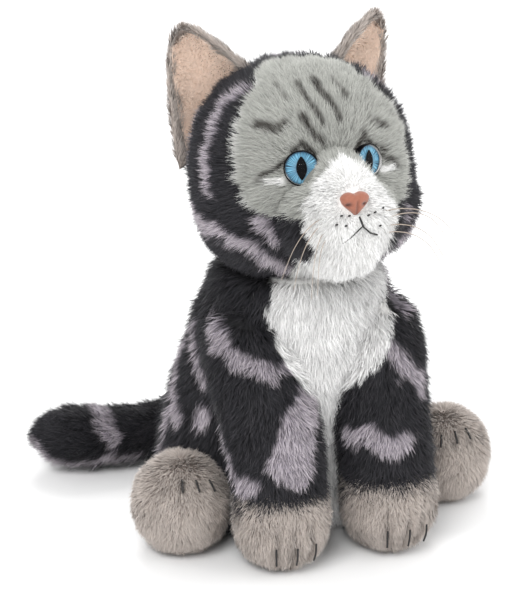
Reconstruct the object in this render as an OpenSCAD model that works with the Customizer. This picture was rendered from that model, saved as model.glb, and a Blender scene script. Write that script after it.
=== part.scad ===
// Sitting plush kitten: sewn covers, fibre stuffing, safety eyes and stitched details.
// +Z is up, the kitten faces -Y, and the origin is on the ground on the body's axis.

/* [Body] */
// Height of the neck rim above the ground
neck_rim_z = 115; // [112:1:118]
// Half width of the body where it is widest
body_half_w = 56; // [50:1:60]
// Thickness of a sewn cover with its backing
cover_t = 1.8; // [1:0.1:2.5]
// Radius of the round base panel that the kitten sits on
seat_r = 30; // [20:1:32]
// Radius of the pellet bag inside the base
pellet_r = 19; // [10:1:22]

/* [Head] */
// Half width of the head without its pile
head_half_w = 41.5; // [38:0.5:43]
// Height of the head's centre above the ground
head_z = 156; // [154:1:158]
// Upward tilt of the face in degrees
head_pitch = 8.7; // [0:0.1:12]
// Radius of the round underside of the head that sits in the neck
neck_ball_r = 37.8; // [36:0.1:38]
// Diameter of a safety eye
eye_d = 13.5; // [10:0.5:15]
// Outward turn of each eye in degrees
eye_splay = 24; // [10:1:30]
// Thickness of one whisker
whisker_d = 0.6; // [0.4:0.1:1]

/* [Ears] */
// Depth of an ear's cup
ear_cup = 14; // [6:1:16]
// Thickness of each of an ear's two layers
ear_t = 1.5; // [1:0.1:2]

/* [Limbs] */
// Radius of the shoulder end of a foreleg
shoulder_r = 19; // [16:0.5:20]
// Radius of the lower end of a foreleg
wrist_r = 17.5; // [14:0.5:18]
// Radius of a front paw
paw_r = 19; // [16:0.5:21]
// Radius of a hind foot
foot_r = 19; // [16:0.5:21]
// Radius of the tail without its pile
tail_r = 10.5; // [8:0.5:13]

/* [Movement] */
// Forward swing of a foreleg in degrees
leg_swing = 25; // [10:1:45]
// Swing of a hind foot to each side in degrees
foot_swing = 12; // [4:1:15]
// Bend of an ear to each side in degrees
ear_bend = 12; // [4:1:15]
// Sideways swing of the tail away from the body in degrees
tail_swing = 50; // [10:1:60]

/* [Hidden] */

around = 28;                 // points round a body ring
ball_fn = 20;                // facets round a soft ball
room_fn = 16;                // facets round the room that a moving piece needs
gap = 1.3;                   // room round a piece that moves
layer_gap = 0.15;            // room between a cover and its stuffing
head_at = [0, -4, head_z];
neck_pivot = [0, -4, head_z - 8];
shoulder = [27, -19, 84];
wrist = [24.5, -44, 28];
paw_at = [24, -47, 18.5];
cuff = [24, -43, 36];        // middle of the seam between sleeve and paw
pellet_at = [0, 9, 22];
// The feet are splayed unequally: middles and seam pivots as [right, left]
foot_places = [[58, -19, 19], [66, -11, 19]];
foot_seams = [[45, -2, 19], [51, 3, 19]];
tail_root = [0, 47, 24];
tail_joint = [-46, 67, 18];
tail_route = [[-14, 60, 21], [-30, 66, 19], tail_joint];
tip_route = [tail_joint, [-60, 68, 16.5], [-74, 70, 16.5], [-86, 73, 17]];
eye_at = [14.2, -38.8, 5.2];
nose_at = [0, -57, -7];
muzzle_at = [0, -37, -15];
ear_inner = [16, 1, 192];
ear_outer = [46.5, 20, 163];
ear_tip = [45.5, 18.5, 211];
ear_taper = 0.6;             // how early the sides of an ear turn in towards its tip

// Rings of the body, each [height, middle in Y, half width, half depth]
body_rings = [[0, 9, 42, 33], [4, 9, 50, 38], [14, 9, body_half_w - 1, 41.5], [28, 8.5, body_half_w, 42],
              [44, 7.5, 53.5, 41], [60, 5, 50.5, 39.5], [76, 2, 46.5, 38], [90, -0.5, 42.5, 36.5],
              [103, -2.5, 37.5, 34.5], [neck_rim_z, -4, 32, 31]];
// Rings of the head about its own centre
head_rings = [[-45.5, 0.5, 5, 5], [-42, 0.5, 15, 15], [-37, 0.5, 23.5, 23.5], [-30, 0.5, 30.5, 30],
              [-20, 0.5, 37, 36], [-8, 0, head_half_w, 39], [6, 0, head_half_w, 39.5],
              [18, 0, head_half_w - 3, 37.5], [28, 0, 32.5, 32], [35, 0, 24.5, 24.5],
              [40, 0, 14, 14.5], [42.5, 0, 4, 4]];

function ring(r, inset, z) = [for (i = [0 : around - 1]) let (a = 360 * i / around)
    [(r[2] - inset) * sin(a), r[1] - (r[3] - inset) * cos(a), z]];
// The end rings also move inwards, so that the inset solid lies inside at both ends
function ring_z(rings, k, inset) = rings[k][0] + (k == 0 ? inset : k == len(rings) - 1 ? -inset : 0);
function foot_at(s) = foot_places[s > 0 ? 1 : 0];
function foot_seam(s) = foot_seams[s > 0 ? 1 : 0];
// The body's outline at height z, by straight steps between its rings
function outline(z, k = 0) = k > len(body_rings) - 3 || body_rings[k + 1][0] >= z
    ? let (t = (z - body_rings[k][0]) / (body_rings[k + 1][0] - body_rings[k][0]))
      body_rings[k] * (1 - t) + body_rings[k + 1] * t
    : outline(z, k + 1);

// Closed solid through a stack of rings
module stack(rings, inset = 0) {
    last = len(rings) - 1;
    points = [for (k = [0 : last]) each ring(rings[k], inset, ring_z(rings, k, inset))];
    walls = [for (k = [0 : last - 1], i = [0 : around - 1])
        let (j = (i + 1) % around, a = k * around)
        each [[a + i, a + around + j, a + j], [a + i, a + around + i, a + around + j]]];
    polyhedron(points = points, convexity = 4,
        faces = concat(walls, [[for (i = [0 : around - 1]) i]],
            [[for (i = [around - 1 : -1 : 0]) last * around + i]]));
}
module ball(at, r, fn = ball_fn) translate(at) sphere(r = r, $fn = fn);
// The left form is drawn, and the right one is its mirror image
module side(s) if (s > 0) children(); else mirror([1, 0, 0]) children();
module turned(at, axis, angle) translate(at) rotate(a = angle, v = axis) translate(-at) children();
module in_head() translate(head_at) rotate([-head_pitch, 0, 0]) children();
// One closed skin from the cuts made in its children
module sewn() resize([0, 0, 0]) children();

// Body
module body_form(inset = 0) stack(body_rings, inset);
module neck_dish() ball(neck_pivot, neck_ball_r + 2.2, 28);
module leg_form(grow = 0) {
    hull() { ball(shoulder, shoulder_r + grow); ball(wrist, wrist_r + grow); }
    paw_form(grow);
}
module paw_form(grow = 0) intersection() {
    ball(paw_at, paw_r + grow);
    translate([-50, -100, max(-grow, 0)]) cube([150, 100, 100]);
}
module foot_form(s, grow = 0) intersection() {
    ball(foot_at(s), foot_r + grow);
    translate([0, -100, max(-grow, 0)]) cube([150, 150, 100]);
}
module tail_tube(route, r) for (k = [0 : len(route) - 2])
    hull() { ball(route[k], r); ball(route[k + 1], r); }
module root_form(grow = 0) tail_tube(concat([tail_root], tail_route), tail_r + grow);
// Room in the body for the head, the limbs and the tail over their whole travel
module moving_room() {
    neck_dish();
    for (s = [-1, 1]) side(s) {
        hull() for (a = [0, leg_swing / 2, leg_swing]) turned(shoulder, [-1, 0, 0], a)
            for (at = [shoulder, wrist, paw_at]) ball(at, shoulder_r + gap, room_fn);
        hull() for (a = [-foot_swing, 0, foot_swing]) turned(foot_seam(s), [0, 0, 1], a)
            ball(foot_at(s), foot_r + gap, room_fn);
    }
    hull() {
        ball(tail_root, tail_r + gap, room_fn);
        for (a = [5, -tail_swing / 2, -tail_swing]) turned(tail_root, [0, 0, 1], a)
            ball(tail_route[0], tail_r + gap, room_fn);
    }
}
module body_cover() difference() {
    body_form();
    body_form(cover_t);
    moving_room();
    translate([0, 9, -1]) cylinder(r = seat_r + 0.1, h = cover_t + 2, $fn = 40);
}
// Prism through the whole depth in front of the body's middle
module front_region(outline_xz) translate([0, 5, 0]) rotate([90, 0, 0])
    linear_extrude(height = 80) polygon(outline_xz);
module bib_region() front_region([[-30, 125], [-31, 95], [-25, 72], [0, 52], [25, 72], [31, 95], [30, 125]]);
module belly_region() difference() {
    front_region([[-26, -5], [-26, 73], [26, 73], [26, -5]]);
    bib_region();
}

module torso_stuffing() color("whitesmoke") sewn() difference() {
    body_form(cover_t + layer_gap);
    moving_room();
    ball(pellet_at, pellet_r + layer_gap);
    translate([0, pellet_at[1], 0]) cylinder(r = pellet_r / 2, h = pellet_at[2], $fn = 32);
}
module pellet_bag() color("wheat") translate(pellet_at) sphere(r = pellet_r - 0.3, $fn = 32);
module seat_panel() color("dimgray") translate([0, 9, 0]) cylinder(r = seat_r, h = cover_t, $fn = 48);
module side_panel(s) color("dimgray") sewn() difference() {
    intersection() {
        body_cover();
        translate([s > 0 ? 0.05 : -80.05, -80, -1]) cube([80, 160, 130]);
    }
    bib_region();
    belly_region();
}
module chest_bib() color("white") sewn() intersection() { body_cover(); bib_region(); }
module belly_panel() color("white") sewn() intersection() { body_cover(); belly_region(); }
// Ladder stitches that close the seam down the back
module closing_stitches() color("black") for (z = [56 : 5 : 96]) {
    r = outline(z);
    translate([-2, r[1] + r[3] + 0.1, z]) rotate([0, 90, 0]) cylinder(r = 0.45, h = 4, $fn = 16);
}
module neck_gusset() color("dimgray") translate(neck_pivot)
    rotate_extrude($fn = 60) polygon([
        for (a = [-66 : 2 : -50]) (neck_ball_r + 0.5) * [cos(a), sin(a)],
        for (a = [-50 : -2 : -66]) (neck_ball_r + 1.4) * [cos(a), sin(a)]]);

// Head
module head_form(inset = 0) difference() {
    in_head() {
        stack(head_rings, inset);
        translate(muzzle_at) resize(2 * [21 - inset, 19.5 - inset, 18.5 - inset]) sphere(r = 20, $fn = ball_fn);
    }
    neck_trim(inset);
}
// Everything outside the round underside, below the cheeks
module neck_trim(inset) difference() {
    translate(neck_pivot + [-33, -36, -60]) cube([66, 90, 42]);
    ball(neck_pivot, neck_ball_r - inset, 28);
}
module eye_hole(r, depth) side_pair_eye() translate([0, 0, -depth]) cylinder(r = r, h = depth + 12, $fn = 32);
module at_eye(s) in_head() side(s) translate(eye_at) rotate([90, 0, eye_splay]) children();
module side_pair_eye() for (s = [-1, 1]) at_eye(s) children();
module head_cover() difference() {
    head_form();
    head_form(cover_t);
    eye_hole(eye_d / 2 + 0.3, 3.4);
    eye_hole(2.3, 12.5);
    in_head() translate(nose_at) rotate([90, 0, 0]) translate([0, 0, -8]) cylinder(r = 2.1, h = 10, $fn = 24);
}
module muzzle_region(grow = 0) in_head() translate(muzzle_at + [0, -17, -2])
    rotate([90, 0, 0]) translate([0, 0, -16]) cylinder(r = 21 + grow, h = 50, $fn = 36);
module face_region() in_head() translate([-34, -75, -24]) cube([68, 62, 72]);

module head_stuffing() color("whitesmoke") sewn() difference() {
    head_form(cover_t + layer_gap);
    eye_hole(eye_d / 2 + 0.3, 3.4);
    eye_hole(2.3, 12.5);
    side_pair_eye() translate([0, 0, -12]) cylinder(r = 7.3, h = 3, $fn = 24);
    in_head() translate(nose_at) rotate([90, 0, 0]) {
        translate([0, 0, -16]) cylinder(r = 2.2, h = 16, $fn = 24);
        translate([0, 0, -15.5]) cylinder(r = 6.3, h = 3, $fn = 24);
    }
}
module head_panel(s) color("dimgray") sewn() difference() {
    intersection() {
        head_cover();
        translate([s > 0 ? 0.05 : -80.05, -90, 90]) cube([80, 180, 130]);
    }
    muzzle_region();
    face_region();
}
module face_panel() color("darkgray") sewn() difference() {
    intersection() { head_cover(); face_region(); }
    muzzle_region();
}
module muzzle_panel() color("white") sewn() intersection() { head_cover(); muzzle_region(-0.05); }

// Eyes: a clear dome over a painted iris and a slit pupil, on a post with a lock washer
module eye_dome(s) color("aliceblue", 0.5) at_eye(s) intersection() {
    translate([0, 0, -3]) sphere(r = 7.6, $fn = 48);
    cylinder(r = eye_d / 2, h = 8, $fn = 48);
}
module eye_iris(s) color("deepskyblue") at_eye(s) translate([0, 0, -0.6])
    cylinder(r = eye_d / 2, h = 0.5, $fn = 48);
module eye_pupil(s) color("black") at_eye(s) translate([0, 0, -0.1]) linear_extrude(height = 0.1)
    intersection() { translate([3.4, 0]) circle(r = 5.4, $fn = 48); translate([-3.4, 0]) circle(r = 5.4, $fn = 48); }
module eye_post(s) color("black") at_eye(s) {
    translate([0, 0, -2.6]) cylinder(r = eye_d / 2, h = 2, $fn = 48);
    translate([0, 0, -12.4]) cylinder(r = 2, h = 9.8, $fn = 24);
}
module eye_washer(s) color("white") at_eye(s) translate([0, 0, -11.8]) difference() {
    cylinder(r = 7, h = 1.5, $fn = 36);
    translate([0, 0, -1]) cylinder(r = 2.02, h = 4, $fn = 24);
}

// Nose and mouth
module nose() color("indianred") in_head() translate(nose_at) {
    hull() {
        for (x = [-4.6, 4.6]) translate([x, 0, 1.8]) sphere(r = 1.9, $fn = 20);
        translate([0, -0.8, -3.4]) sphere(r = 1.7, $fn = 20);
        translate([0, -1.6, 1.8]) sphere(r = 2.2, $fn = 20);
    }
    rotate([90, 0, 0]) translate([0, 0, -15.8]) cylinder(r = 1.9, h = 15, $fn = 24);
}
module nose_washer() color("white") in_head() translate(nose_at) rotate([90, 0, 0])
    translate([0, 0, -15]) difference() {
        cylinder(r = 6, h = 1.5, $fn = 36);
        translate([0, 0, -1]) cylinder(r = 1.95, h = 4, $fn = 24);
    }
// Straight thread from one point to another
module thread(a, b, r = 0.5) {
    run = b - a;
    translate(a) rotate([0, acos(run[2] / norm(run)), atan2(run[1], run[0])])
        cylinder(r = r, h = norm(run), $fn = 13);
}
module mouth_stitches() color("black") in_head() {
    thread([0, -57.6, -12.6], [0, -57.2, -19]);
    for (s = [-1, 1]) thread([0.6 * s, -57.2, -19.4], [5 * s, -54.6, -23]);
}
module whisker_dots() color("black") in_head() for (s = [-1, 1], d = [[8, -55, -12], [11, -53.5, -15],
        [8.5, -54.8, -17.5], [12, -52, -19]])
    translate([d[0] * s, d[1] - 0.5, d[2]]) sphere(r = 0.8, $fn = 16);
whisker_roots = [[14, -51, -10], [14.5, -51, -13], [14, -51, -16], [13, -51, -19]];
whisker_ends = [[52, -52, -24], [46, -50, -38], [40, -54, -46], [30, -60, -50]];
// Thin strand with round ends from one point to another
module strand(a, b, r) hull() for (end = [a, b]) translate(end) sphere(r = r, $fn = 8);
module whiskers(s) color("ivory") sewn() in_head() side(s) for (k = [0 : 3]) {
    bend = (whisker_roots[k] + whisker_ends[k]) / 2 + [3, -3, 5];
    strand(whisker_roots[k], bend, whisker_d / 2);
    strand(bend, whisker_ends[k], whisker_d / 2);
}

// Ears: a cupped blade from its base line to its tip
ear_run = ear_outer - ear_inner;
ear_front = let (n = cross(ear_run, ear_tip - ear_inner)) n / norm(n);
ear_mid = (ear_inner + ear_outer) / 2 - ear_front * ear_cup / 2;
function blade(u, v, back) = let (w = pow(1 - v, ear_taper))
    (ear_inner + ear_outer) / 2 * (1 - v) + ear_tip * v + (u - 0.5) * w * ear_run
    - ear_front * (ear_cup * 4 * u * (1 - u) * w + back);
// Every layer is cut from one grid, so that the layers stay parallel; skip leaves out its outer cells
module ear_layer(front, back, skip) {
    cells = 10;
    nu = cells - 2 * skip;
    nv = cells - skip;
    row = nu + 1;
    v0 = -0.25;
    v1 = 0.97;
    grid = function (d) [for (j = [0 : nv], i = [0 : nu])
        blade((i + skip) / cells, v0 + (v1 - v0) * j / cells, d)];
    n = row * (nv + 1);
    quads = [for (j = [0 : nv - 1], i = [0 : nu - 1]) let (a = j * row + i) [a, a + 1, a + row + 1, a + row]];
    flat = function (q) [[q[0], q[1], q[2]], [q[0], q[2], q[3]]];
    edge = concat([for (i = [0 : nu]) i], [for (j = [1 : nv]) j * row + nu],
        [for (i = [nu - 1 : -1 : 0]) nv * row + i], [for (j = [nv - 1 : -1 : 1]) j * row]);
    polyhedron(points = concat(grid(front), grid(back)), convexity = 6, faces = concat(
        [for (q = quads) each flat([q[3], q[2], q[1], q[0]])],
        [for (q = quads) each flat([for (i = q) i + n])],
        [for (k = [0 : len(edge) - 1]) let (a = edge[k], b = edge[(k + 1) % len(edge)])
            each flat([a, b, b + n, a + n])]));
}
module ear_cut() difference() {
    children();
    for (a = [-ear_bend : ear_bend / 2 : ear_bend]) turned(ear_mid, ear_run, a) in_head() stack(head_rings, -0.7);
}
module ear_back(s) color("rosybrown") sewn() side(s) ear_cut()
    ear_layer(ear_t + 2 * layer_gap, 2 * ear_t + 2 * layer_gap, 0);
module ear_lining(s) color("peachpuff") sewn() side(s) ear_cut() ear_layer(0, ear_t, 1);

// Limbs
module below_cuff() translate(cuff) rotate([-32, 0, 0]) translate([-60, -60, -70]) cube([120, 120, 70]);
module leg_shell() difference() { leg_form(); leg_form(-cover_t); }
module foreleg_sleeve(s) color("dimgray") sewn() side(s) difference() { leg_shell(); below_cuff(); }
module paw_cover(s) color("tan") sewn() side(s) intersection() { leg_shell(); below_cuff(); }
module foreleg_stuffing(s) color("whitesmoke") sewn() side(s) leg_form(-cover_t - layer_gap);
// A stitch drawn as a short thread lying on a ball
function on_ball(at, r, turn, lift) = at + r * [sin(turn) * cos(lift), -cos(turn) * cos(lift), sin(lift)];
module toe_stitch(at, r, turn, low, high) for (k = [0 : 2]) let (step = (high - low) / 3)
    strand(on_ball(at, r, turn, low + k * step), on_ball(at, r, turn, low + (k + 1) * step), 0.5);
module paw_stitches(s) color("black") sewn() side(s) for (t = [-22, 0, 22])
    toe_stitch(paw_at, paw_r + 0.3, t, -25, 12);
module foot_cover(s) color("tan") side(s) difference() { foot_form(s); foot_form(s, -cover_t); }
module foot_stuffing(s) color("whitesmoke") sewn() side(s) foot_form(s, -cover_t - layer_gap);
module foot_stitches(s) color("black") sewn() side(s) for (t = [-12, 10, 32])
    toe_stitch(foot_at(s), foot_r + 0.3, t, 15, 48);

// Tail
module root_cut() difference() { children(); ball(tail_joint, tail_r + 0.7); }
module tip_form(grow = 0) tail_tube(tip_route, tail_r - 0.4 + grow);
module tail_root_cover() color("dimgray") sewn() root_cut()
    difference() { root_form(); root_form(-cover_t); }
module tail_root_stuffing() color("whitesmoke") sewn() root_cut() root_form(-cover_t - layer_gap);
// The tip's cover is open at the seam, where it is sewn to the root's
module tail_tip_cover() color("dimgray") sewn() difference() {
    tip_form();
    tip_form(-cover_t);
    translate(tail_joint + [6, -20, -20]) cube([20, 40, 40]);
}
module tail_tip_stuffing() color("whitesmoke") sewn() tip_form(-cover_t - layer_gap);

torso_stuffing();
pellet_bag();
seat_panel();
side_panel(1);  // side_panel_left
side_panel(-1);  // side_panel_right
chest_bib();
belly_panel();
closing_stitches();
neck_gusset();
head_stuffing();
head_panel(1);  // head_panel_left
head_panel(-1);  // head_panel_right
face_panel();
muzzle_panel();
eye_dome(1);  // eye_dome_left
eye_dome(-1);  // eye_dome_right
eye_iris(1);  // eye_iris_left
eye_iris(-1);  // eye_iris_right
eye_pupil(1);  // eye_pupil_left
eye_pupil(-1);  // eye_pupil_right
eye_post(1);  // eye_post_left
eye_post(-1);  // eye_post_right
eye_washer(1);  // eye_washer_left
eye_washer(-1);  // eye_washer_right
nose();
nose_washer();
mouth_stitches();
whisker_dots();
whiskers(1);  // whiskers_left
whiskers(-1);  // whiskers_right
ear_back(1);  // ear_back_left
ear_back(-1);  // ear_back_right
ear_lining(1);  // ear_lining_left
ear_lining(-1);  // ear_lining_right
foreleg_sleeve(1);  // foreleg_sleeve_left
foreleg_sleeve(-1);  // foreleg_sleeve_right
paw_cover(1);  // paw_cover_left
paw_cover(-1);  // paw_cover_right
foreleg_stuffing(1);  // foreleg_stuffing_left
foreleg_stuffing(-1);  // foreleg_stuffing_right
paw_stitches(1);  // paw_stitches_left
paw_stitches(-1);  // paw_stitches_right
foot_cover(1);  // foot_cover_left
foot_cover(-1);  // foot_cover_right
foot_stuffing(1);  // foot_stuffing_left
foot_stuffing(-1);  // foot_stuffing_right
foot_stitches(1);  // foot_stitches_left
foot_stitches(-1);  // foot_stitches_right
tail_root_cover();
tail_root_stuffing();
tail_tip_cover();
tail_tip_stuffing();
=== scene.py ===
import bpy
import math
import numpy as np
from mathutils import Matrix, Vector


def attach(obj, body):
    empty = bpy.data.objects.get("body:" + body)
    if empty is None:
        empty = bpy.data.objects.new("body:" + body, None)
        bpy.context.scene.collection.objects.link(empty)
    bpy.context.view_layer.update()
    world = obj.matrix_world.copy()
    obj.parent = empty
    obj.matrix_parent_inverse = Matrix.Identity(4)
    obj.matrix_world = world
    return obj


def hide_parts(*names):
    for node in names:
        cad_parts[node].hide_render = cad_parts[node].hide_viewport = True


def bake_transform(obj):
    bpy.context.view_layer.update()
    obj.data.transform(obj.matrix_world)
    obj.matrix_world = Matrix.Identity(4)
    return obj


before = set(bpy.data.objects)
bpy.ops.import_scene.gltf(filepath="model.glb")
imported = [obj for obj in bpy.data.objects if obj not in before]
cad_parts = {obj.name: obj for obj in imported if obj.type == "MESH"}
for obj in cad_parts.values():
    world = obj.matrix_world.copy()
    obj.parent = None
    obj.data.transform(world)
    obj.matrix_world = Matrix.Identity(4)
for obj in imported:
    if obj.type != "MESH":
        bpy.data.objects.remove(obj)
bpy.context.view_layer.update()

rng = np.random.default_rng(7)


# Shapes are worked out in millimetres and go into meshes in metres

def unit(a):
    return a / np.maximum(np.linalg.norm(a, axis=-1, keepdims=True), 1e-9)


def dot(a, b):
    return np.sum(a * b, axis=-1, keepdims=True)


def step(low, high, x):
    # smooth step: t = clamp((x - low) / (high - low)), then t * t * (3 - 2 t)
    t = np.clip((x - low) / (high - low), 0, 1)
    return t * t * (3 - 2 * t)


def smoothRows(rows, count):
    # Catmull-Rom curve through the rows a, b, c, d:
    # 0.5 (2b + (c - a) t + (2a - 5b + 4c - d) t^2 + (3b - a - 3c + d) t^3)
    rows = np.array(rows, float)
    last = len(rows) - 1
    s = np.linspace(0, last, count)
    i = np.minimum(s.astype(int), last - 1)
    t = (s - i)[:, None]
    a, b, c, d = rows[np.maximum(i - 1, 0)], rows[i], rows[i + 1], rows[np.minimum(i + 2, last)]
    return 0.5 * (2 * b + (c - a) * t + (2 * a - 5 * b + 4 * c - d) * t ** 2 + (3 * b - a - 3 * c + d)
                  * t ** 3)


def ripple(p, wave, seed):
    # three crossed waves, from about -1 to 1: mean of sin(p . k_i + phase_i) with |k_i| = 2 pi / wave
    r = np.random.default_rng(seed)
    k = unit(r.normal(size=(3, 3))) * 2 * math.pi / wave
    return np.sin(p @ k.T + r.random(3) * 6.3).mean(axis=-1) * 1.6


def stackSkin(rows, around, along):
    # rows of [height, middle y, half width, half depth, middle x]: P = (x + A sin u, y - B cos u, z)
    z, y, a, b, x = smoothRows(rows, along).T[:, :, None]
    u = np.linspace(0, 2 * math.pi, around + 1)[None, :]
    return np.stack([x + np.maximum(a, 0) * np.sin(u), y - np.maximum(b, 0) * np.cos(u), z + 0 * u], -1)


def tubeSkin(rows, around, along):
    # a circle of radius r carried along a path: P = C + r (cos u S + sin u U), S level and U across it
    path = smoothRows(rows, along)
    c, r = path[:, :3], path[:, 3:]
    t = unit(np.gradient(c, axis=0))
    s = unit(np.cross(t, [0, 0, 1.0]))
    up = np.cross(s, t)
    u = np.linspace(0, 2 * math.pi, around + 1)[None, :, None]
    return c[:, None] + r[:, None] * (np.cos(u) * s[:, None] + np.sin(u) * up[:, None])


head = {"centre": (0, -4, 156), "pitch": 8.7, "half": (42, 39.5, 42.5), "power": 2.15, "blend": 3.0}
# Ellipsoids that swell the head: middle and half sizes
swells = [((0, -37, -15), (20.5, 19.5, 18)), ((0, -36, -4), (13, 19.5, 12.5)),
          ((8, -43, -16.5), (12, 12.5, 10.5)), ((-8, -43, -16.5), (12, 12.5, 10.5)),
          ((0, -40, -26), (11, 13, 8.5)), ((19, -8, -16), (22, 26, 19)), ((-19, -8, -16), (22, 26, 19))]


def headToBody(p):
    # turn by the pitch about X, then move to the head's centre
    s, c = math.sin(math.radians(-head["pitch"])), math.cos(math.radians(-head["pitch"]))
    x, y, z = p[..., 0], p[..., 1], p[..., 2]
    return np.stack([x, y * c - z * s, y * s + z * c], -1) + np.array(head["centre"])


def headReach(d):
    # star-shaped: r(d) is the soft maximum of the superellipsoid and of each swell's far side along d
    reach = [np.sum(np.abs(d / head["half"]) ** head["power"], -1) ** (-1 / head["power"])]
    for middle, half in swells:
        e, m = d / half, np.array(middle) / half
        a, b, c = np.sum(e * e, -1), np.sum(e * m, -1), np.sum(m * m) - 1
        inside = b * b - a * c
        reach.append(np.where((inside > 0) & (b > 0), (b + np.sqrt(np.maximum(inside, 0))) / a, 0))
    k = head["blend"]
    return k * np.log(np.sum(np.exp(np.array(reach) / k), 0) - len(swells) * 1.0 + 1e-9)


def onHead(points, lift=0.0):
    # the skin's point in the direction of each given point, raised by lift; head's own frame
    d = unit(np.array(points, float))
    return d * (headReach(d) + lift)[..., None]


def headSkin(around, along):
    v = np.linspace(-math.pi / 2, math.pi / 2, along)[:, None]
    u = np.linspace(0, 2 * math.pi, around + 1)[None, :]
    d = np.stack([np.cos(v) * np.sin(u), -np.cos(v) * np.cos(u), np.sin(v) + 0 * u], -1)
    return d * headReach(d)[..., None]


torsoRows = [[1.5, 9, 0, 0, -1], [1.5, 9, 36, 28, -1], [4, 9, 45, 35, -1], [10, 9, 50, 38.5, -1],
             [20, 9, 52.5, 40.5, -1], [32, 8.5, 52.5, 41, -1], [46, 7.5, 50.5, 40, -1],
             [60, 5, 47.8, 38.8, -1],
             [76, 2, 43.8, 37.5, -1], [90, -0.5, 39.8, 36, -1], [103, -2.5, 35.5, 34, -1],
             [113, -4, 31.5, 31.5, -0.5],
             [117, -4, 28, 28, 0], [115, -4, 22, 21, 0], [112, -4, 0, 0, 0]]
legRows = [[24, -47, 0, 0, 24], [22, -47, 14.8, 15, 24], [34, -44.8, 16.6, 17, 24], [46, -40, 17.3, 18, 24.2],
           [60, -33.5, 17.6, 18.8, 24.8], [74, -26.6, 18, 19.6, 25.8], [86, -21, 17.3, 19.2, 27],
           [95, -18, 14, 16, 27.6], [101, -17, 9, 11, 28], [103.5, -17, 3, 4, 28], [104, -17, 0, 0, 28]]
pawRows = [[2.6, -46, 0, 0, 24], [2.7, -46, 6.5, 6.5, 24], [4.6, -46.2, 11.5, 11.5, 24],
           [8.5, -46.6, 15.4, 15.4, 24],
           [14.5, -47, 17.8, 18, 24], [21.5, -47, 18.5, 18.8, 24], [28.5, -46.5, 18, 18.4, 24],
           [34, -45.6, 15.8, 16.4, 24], [37.5, -44.6, 11.5, 12.4, 24], [39.5, -44, 6, 7, 24],
           [39.8, -44, 0, 0, 24]]
# Hind foot about its own middle
footRows = [[2.6, 0, 0, 0, 0], [2.7, 0, 6.5, 6.5, 0], [4.6, 0, 11.5, 11.5, 0], [8.5, 0, 15.6, 15.6, 0],
            [14.5, 0, 18.2, 18.2, 0], [21.5, 0, 18.9, 18.9, 0], [28.5, 0, 17.6, 17.6, 0],
            [34.5, 0, 13.6, 13.6, 0],
            [38.6, 0, 8, 8, 0], [40.2, 0, 0, 0, 0]]
footAt = {"left": (66, -11), "right": (-58, -19)}
pawAt = (24, -47)  # the left paw's middle; the right one mirrors it
tailRows = [[1, 43, 25.4, 0], [0, 44, 25, 9.5], [-6, 54, 23, 9.6], [-16, 61, 20.5, 9.4], [-30, 65, 18, 9.2],
            [-46, 66.5, 15.8, 9.2], [-60, 67.5, 15.2, 9.6], [-74, 69, 16, 10.4], [-83, 71, 16.6, 9.8],
            [-90, 73, 16.8, 7.2], [-94, 74, 16.8, 3.6], [-95, 74.2, 16.8, 0]]


# Coat markings: lilac bands as [points, half width], x towards the cat's left
bodyBands = [
    ([(-42, -4, 102), (-43, -20, 95), (-41, -30, 90), (-37, -35, 87), (-31, -39, 84), (-26, -40, 77),
      (-23, -40, 68),
      (-22, -42, 60)], 2.7),
    ([(-44, 3, 88), (-46, -3, 79), (-46, -12, 70), (-46, -22, 62), (-44, -32, 52), (-43, -39, 44),
      (-41, -46, 39),
      (-36, -54, 38)], 2.5),
    ([(-45, 14, 88), (-47, 13, 72), (-51, 8, 60), (-52, 2, 50)], 4.0),
    ([(-54, 12, 46), (-56, 8, 34), (-54, 6, 24)], 2.6),
    ([(-45, -14, 55), (-46, -12, 52)], 3.2),
    ([(-15, -36, 68), (-19, -47, 62), (-22, -52, 54), (-24, -56, 46)], 6.6),
    ([(-18, -40, 82), (-25, -38, 82)], 2.2),
    ([(24, -38, 86), (28, -41, 80), (33, -42, 74), (35, -43, 67)], 3.2),
    ([(29, -40, 79), (27, -43, 73)], 2.2),
    ([(8, -46, 52), (12, -50, 54), (17, -55, 50), (21, -54, 45), (26, -53, 51)], 3.2),
    ([(33, -14, 110), (36, -24, 101), (36, -28, 96)], 3.0), ([(41, -6, 104), (40, 4, 107)], 3.4),
    ([(46, 4, 98), (48, -2, 84), (50, -4, 70), (52, 0, 50), (54, 6, 32)], 3.6),
    ([(38, 22, 102), (44, 24, 82), (48, 26, 62), (48, 28, 40)], 5.0),
    ([(10, 34, 108), (12, 42, 88), (10, 47, 66), (14, 51, 44), (10, 52, 22)], 3.4),
    ([(-10, 34, 108), (-12, 42, 88), (-9, 47, 66), (-13, 51, 44), (-10, 52, 22)], 3.4),
    ([(-26, 36, 92), (-32, 36, 76), (-34, 40, 56), (-40, 38, 36)], 4.0),
    ([(26, 36, 92), (30, 38, 74), (36, 38, 56), (38, 40, 30)], 3.6)]
# the dyed bands bleed a little past their drawn edges
bodyBands = [(line, 1.12 * wide + 0.5) for line, wide in bodyBands]
tailBands = [([(-66, 58, 20), (-70, 62, 27), (-68, 76, 26)], 4.2),
             ([(-30, 56, 20), (-28, 66, 28), (-26, 76, 20)], 3.2),
             ([(-56, 58, 9), (-72, 60, 8), (-88, 66, 9), (-99, 74, 15)], 2.8)]
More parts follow.
